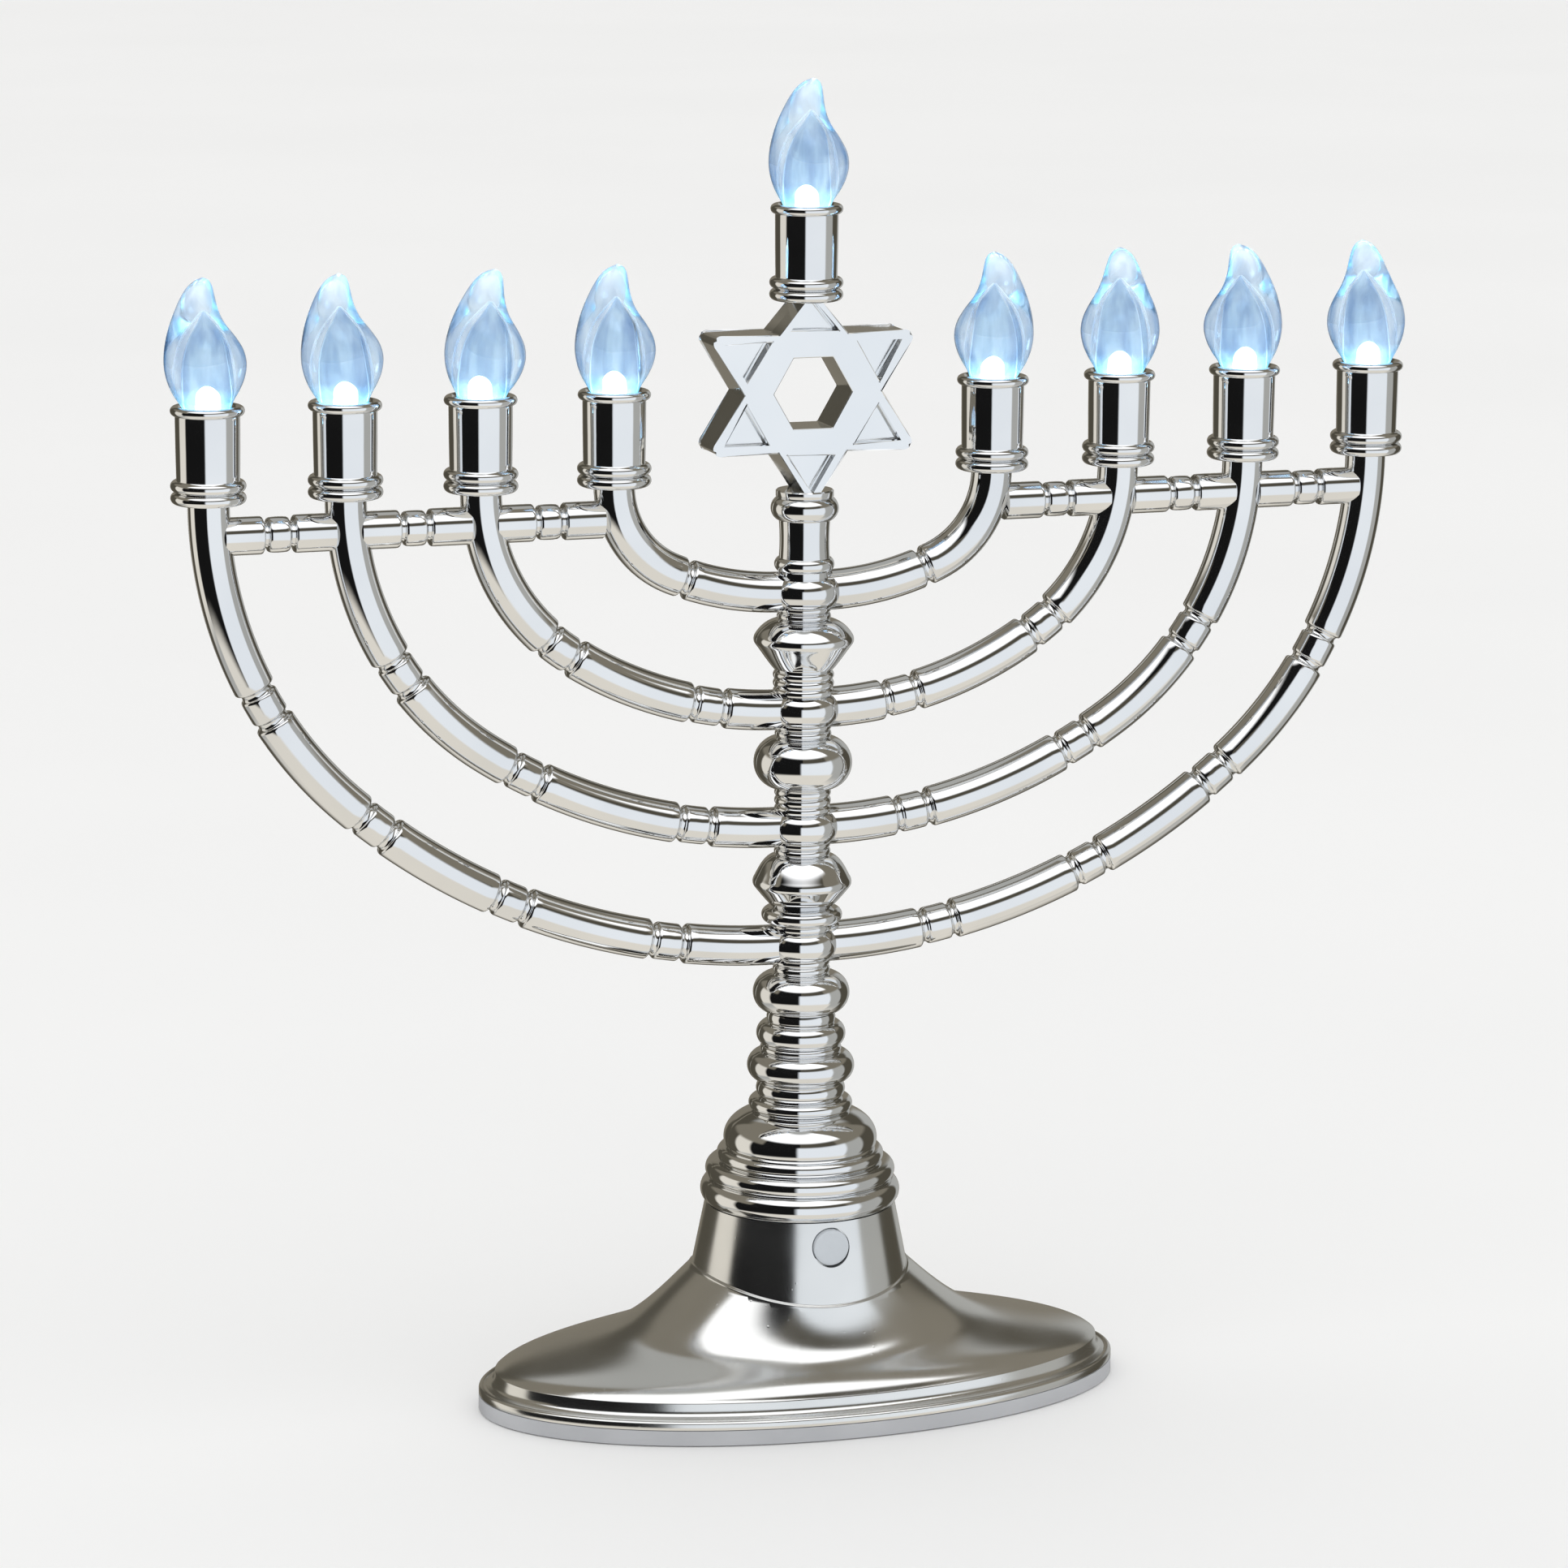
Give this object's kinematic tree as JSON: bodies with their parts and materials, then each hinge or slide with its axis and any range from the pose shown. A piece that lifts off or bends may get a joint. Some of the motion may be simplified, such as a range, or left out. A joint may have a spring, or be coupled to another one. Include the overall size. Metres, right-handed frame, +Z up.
{
  "type": "menorah",
  "caption": "Branched electric candelabrum in bright plated plastic with curved arms, a star, flame-shaped lights and an oval battery base.",
  "frame": {"origin": "on the table, below the middle of the base", "axes": "+X along the row of lights to the right seen from the front, -Y towards the front with the push button, +Z up"},
  "size_m": [0.2941, 0.0838, 0.305],
  "materials": {
    "plated_frame": "bright vacuum-metallised chrome over moulded ABS",
    "plated_cups": "bright vacuum-metallised chrome over moulded ABS",
    "plated_base": "bright chrome plating over moulded ABS, very slightly speckled",
    "base_tray": "plain light grey moulded plastic",
    "flame_lens": "clear blue-tinted acrylic, polished",
    "light": "diffused 5 mm light-emitting diode, lit cool white",
    "button": "light grey push button",
    "switch_body": "black moulded switch body",
    "board": "green solder mask",
    "board_parts": "black epoxy",
    "cells": "plain unprinted cell wrapper, steel ends",
    "spring_steel": "nickel-plated steel",
    "feet": "dark rubber pads",
    "wire": "insulated hook-up wire"
  },
  "bodies": {
    "stand": {"shaft_front": "plated_frame", "shaft_rear": "plated_frame", "star_front": "plated_frame", "star_rear": "plated_frame", "link_bars_front": "plated_frame", "link_bars_rear": "plated_frame", "arm_1_front": "plated_frame", "arm_1_rear": "plated_frame", "arm_2_front": "plated_frame", "arm_2_rear": "plated_frame", "arm_3_front": "plated_frame", "arm_3_rear": "plated_frame", "arm_4_front": "plated_frame", "arm_4_rear": "plated_frame", "candle_cup_1": "plated_cups", "candle_cup_2": "plated_cups", "candle_cup_3": "plated_cups", "candle_cup_4": "plated_cups", "candle_cup_5": "plated_cups", "candle_cup_6": "plated_cups", "candle_cup_7": "plated_cups", "candle_cup_8": "plated_cups", "candle_cup_9": "plated_cups", "base_cover": "plated_base", "base_plate": "base_tray", "leds": "light", "tact_switch": "switch_body", "circuit_board": "board", "board_parts": "board_parts", "battery_cells": "cells", "contact_springs": "spring_steel", "contact_plates": "spring_steel", "base_screws": "spring_steel", "rubber_feet": "feet", "wiring": "wire"},
    "button": {"push_button": "button", "switch_plunger": "button"},
    "door": {"battery_door": "base_tray"},
    "flame_cap_1": {"flame_1": "flame_lens"},
    "flame_cap_2": {"flame_2": "flame_lens"},
    "flame_cap_3": {"flame_3": "flame_lens"},
    "flame_cap_4": {"flame_4": "flame_lens"},
    "flame_cap_5": {"flame_5": "flame_lens"},
    "flame_cap_6": {"flame_6": "flame_lens"},
    "flame_cap_7": {"flame_7": "flame_lens"},
    "flame_cap_8": {"flame_8": "flame_lens"},
    "flame_cap_9": {"flame_9": "flame_lens"}
  },
  "joints": [
    {"name": "button_press", "type": "slide", "parent": "stand", "child": "button", "axis": [0, 1, 0], "range_m": [0, 0.0008], "stiffness_N_per_m": 1500, "springref_m": -0.0006},
    {"name": "battery_door_hinge", "type": "hinge", "parent": "stand", "child": "door", "pos_m": [0, 0.0234, 0.0014], "axis": [1, 0, 0], "range_deg": [0, 100]},
    {"name": "flame_1_turn", "type": "hinge", "parent": "stand", "child": "flame_cap_1", "pos_m": [-0.1381, 0, 0.23535], "axis": [-0.0523, 0, 0.9986], "continuous": true},
    {"name": "flame_2_turn", "type": "hinge", "parent": "stand", "child": "flame_cap_2", "pos_m": [-0.1071, 0, 0.23535], "axis": [-0.0698, 0, 0.9976], "continuous": true},
    {"name": "flame_3_turn", "type": "hinge", "parent": "stand", "child": "flame_cap_3", "pos_m": [-0.0761, 0, 0.23535], "axis": [0.0872, 0, 0.9962], "continuous": true},
    {"name": "flame_4_turn", "type": "hinge", "parent": "stand", "child": "flame_cap_4", "pos_m": [-0.0451, 0, 0.23535], "axis": [0, 0, 1], "continuous": true},
    {"name": "flame_5_turn", "type": "hinge", "parent": "stand", "child": "flame_cap_5", "pos_m": [0, 0, 0.27575], "axis": [0.0175, 0, 0.9998], "continuous": true},
    {"name": "flame_6_turn", "type": "hinge", "parent": "stand", "child": "flame_cap_6", "pos_m": [0.0451, 0, 0.23535], "axis": [0.0262, 0, 0.9997], "continuous": true},
    {"name": "flame_7_turn", "type": "hinge", "parent": "stand", "child": "flame_cap_7", "pos_m": [0.0761, 0, 0.23535], "axis": [0, 0, 1], "continuous": true},
    {"name": "flame_8_turn", "type": "hinge", "parent": "stand", "child": "flame_cap_8", "pos_m": [0.1071, 0, 0.23535], "axis": [-0.0436, 0, 0.999], "continuous": true},
    {"name": "flame_9_turn", "type": "hinge", "parent": "stand", "child": "flame_cap_9", "pos_m": [0.1381, 0, 0.23535], "axis": [-0.061, 0, 0.9981], "continuous": true}
  ]
}
